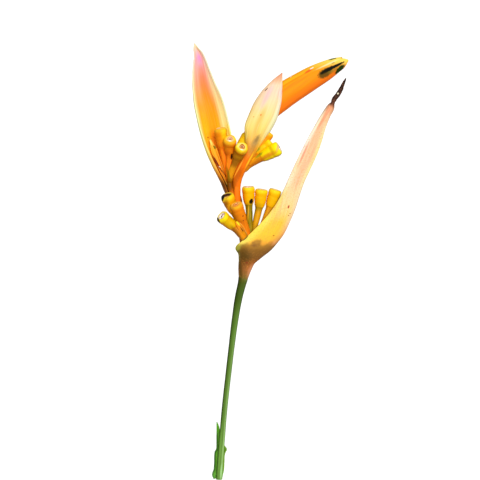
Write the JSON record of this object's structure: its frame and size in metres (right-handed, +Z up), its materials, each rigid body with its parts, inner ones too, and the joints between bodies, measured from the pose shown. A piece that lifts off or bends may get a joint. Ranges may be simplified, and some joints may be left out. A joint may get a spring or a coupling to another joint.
{
  "type": "heliconia flower",
  "caption": "Cut heliconia flower with a slim green stem, boat-shaped bracts, clusters of small fruits and an open orange flower, lying on its side.",
  "frame": {"origin": "centre of the bounding box's base, on the surface that the flower lies on", "axes": "+Y along the stem towards the tip of the flower, +Z up out of the surface, +X towards the side of the lowest bract"},
  "size_m": [0.0781, 0.2186, 0.0183],
  "materials": {
    "stem": "waxy green stalk, turning orange past the lowest bract",
    "sheath": "satin green leaf sheath",
    "bract_lower": "satin bract, orange and pink with pale yellow edges and a dry brown tip",
    "bract_left": "satin bract, pink to orange inside with pale yellow edges",
    "bract_upper": "satin bract, pale yellow with an orange midrib",
    "fruits": "glossy yellow skin on olive green stalks",
    "open_flower": "glossy orange petals with dark green spots near the tip"
  },
  "bodies": {
    "root": {"stem": "stem", "leaf_sheath": "sheath", "bract_lower": "bract_lower", "bract_left": "bract_left", "bract_upper": "bract_upper", "fruits_lower": "fruits", "fruits_left": "fruits", "fruits_upper": "fruits", "open_flower_boat": "open_flower", "open_flower_petal": "open_flower"}
  },
  "joints": []
}
